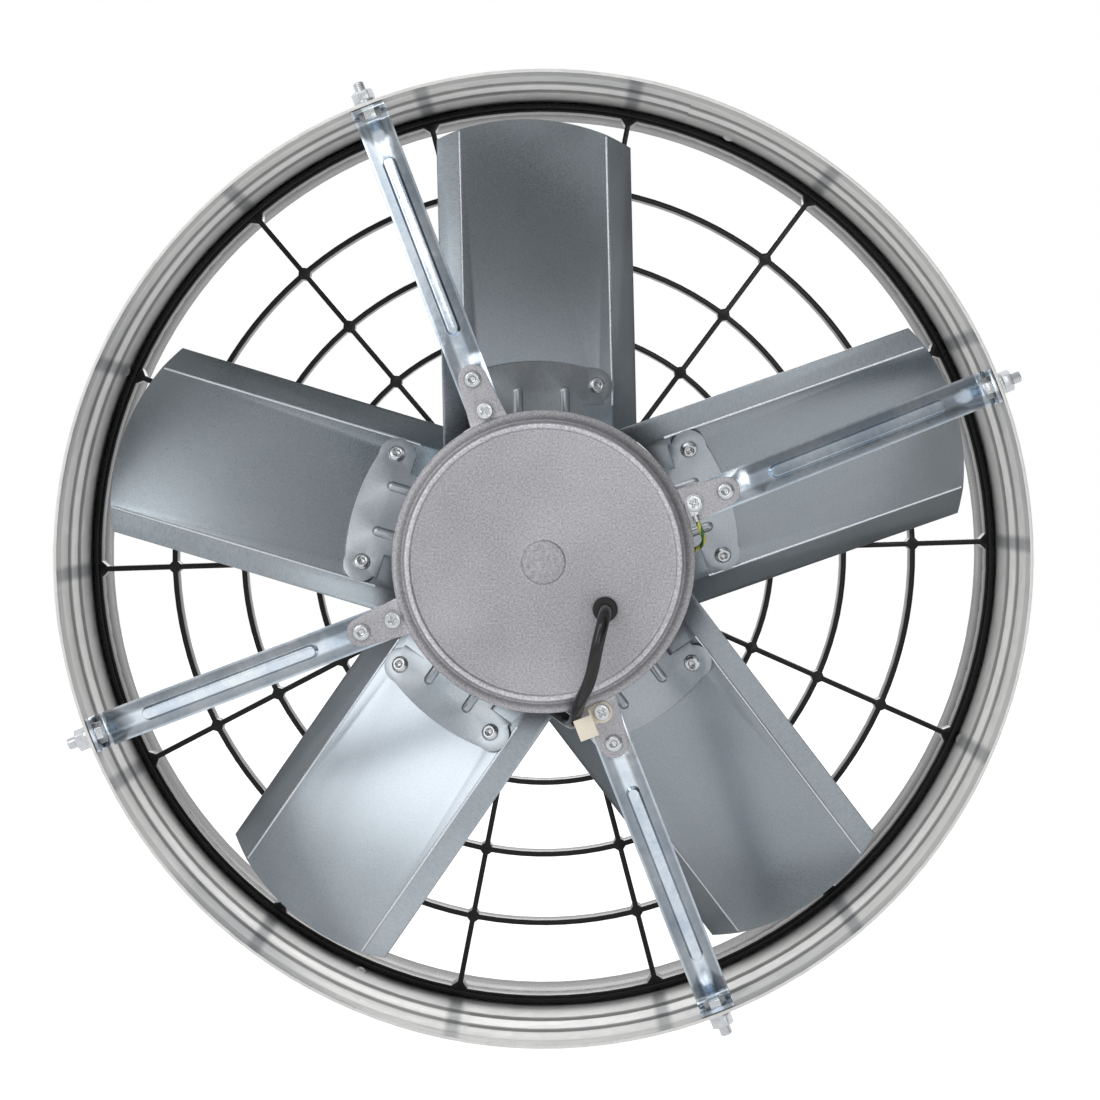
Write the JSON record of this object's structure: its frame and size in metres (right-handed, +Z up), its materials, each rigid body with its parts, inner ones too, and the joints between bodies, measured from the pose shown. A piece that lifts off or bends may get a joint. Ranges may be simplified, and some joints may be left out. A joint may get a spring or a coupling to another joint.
{
  "type": "industrial exhaust fan",
  "caption": "Duct-mounted axial exhaust fan: a galvanised ring, a motor on bent arms, folded sheet blades on a riveted spider, a black rear guard and a short lead.",
  "frame": {"origin": "on the fan's axis, at mid-depth of the duct ring", "axes": "+Y along the axis, the way the air leaves; +Z up; +X to the right seen from the motor side"},
  "size_m": [0.4999, 0.2009, 0.5],
  "materials": {
    "galvanised_duct": "galvanised sheet",
    "zinc_arm": "bright zinc plate",
    "galvanised_blade": "galvanised sheet, finely brushed",
    "spider_steel": "zinc plate, dull",
    "cast_aluminium": "as cast",
    "black_moulding": "gloss black",
    "cord_sheath": "smooth black",
    "grommet_rubber": "matt black",
    "core_sheath": "insulated cores",
    "clip_plastic": "cream",
    "tie_plastic": "black",
    "earth_sheath": "green with yellow",
    "winding_copper": "varnished copper",
    "lamination_steel": "laminated",
    "bearing_steel": "ground",
    "zinc_fastener": "zinc plate"
  },
  "bodies": {
    "frame": {"arm_1": "zinc_arm", "arm_2": "zinc_arm", "arm_3": "zinc_arm", "arm_4": "zinc_arm", "arm_bolts": "zinc_fastener", "arm_nuts": "zinc_fastener", "arm_rivets": "zinc_fastener", "arm_washers": "zinc_fastener", "cable_tie": "tie_plastic", "cord_clip": "clip_plastic", "cord_coil": "cord_sheath", "cord_grommet": "grommet_rubber", "duct_ring": "galvanised_duct", "earth_terminal": "zinc_fastener", "earth_wire": "earth_sheath", "front_bearing_balls": "bearing_steel", "front_bearing_outer": "bearing_steel", "front_housing": "cast_aluminium", "guard_grille": "black_moulding", "guard_rim": "black_moulding", "lead_ends": "core_sheath", "lug_screws": "zinc_fastener", "lug_washers": "zinc_fastener", "power_cord": "cord_sheath", "preload_washer": "zinc_fastener", "rear_bearing_balls": "bearing_steel", "rear_bearing_outer": "bearing_steel", "rear_housing": "cast_aluminium", "stator_core": "lamination_steel", "stator_windings": "winding_copper"},
    "impeller": {"blade_1": "galvanised_blade", "blade_2": "galvanised_blade", "blade_3": "galvanised_blade", "blade_4": "galvanised_blade", "blade_5": "galvanised_blade", "blade_rivets": "zinc_fastener", "front_bearing_inner": "bearing_steel", "hub_boss": "spider_steel", "hub_nut": "zinc_fastener", "hub_rivets": "zinc_fastener", "hub_washer": "zinc_fastener", "impeller_spider": "spider_steel", "motor_shaft": "bearing_steel", "rear_bearing_inner": "bearing_steel", "rotor_core": "lamination_steel"}
  },
  "joints": [
    {"name": "impeller_spin", "type": "hinge", "parent": "frame", "child": "impeller", "pos_m": [0, 0, 0], "axis": [0, 1, 0], "continuous": true}
  ]
}
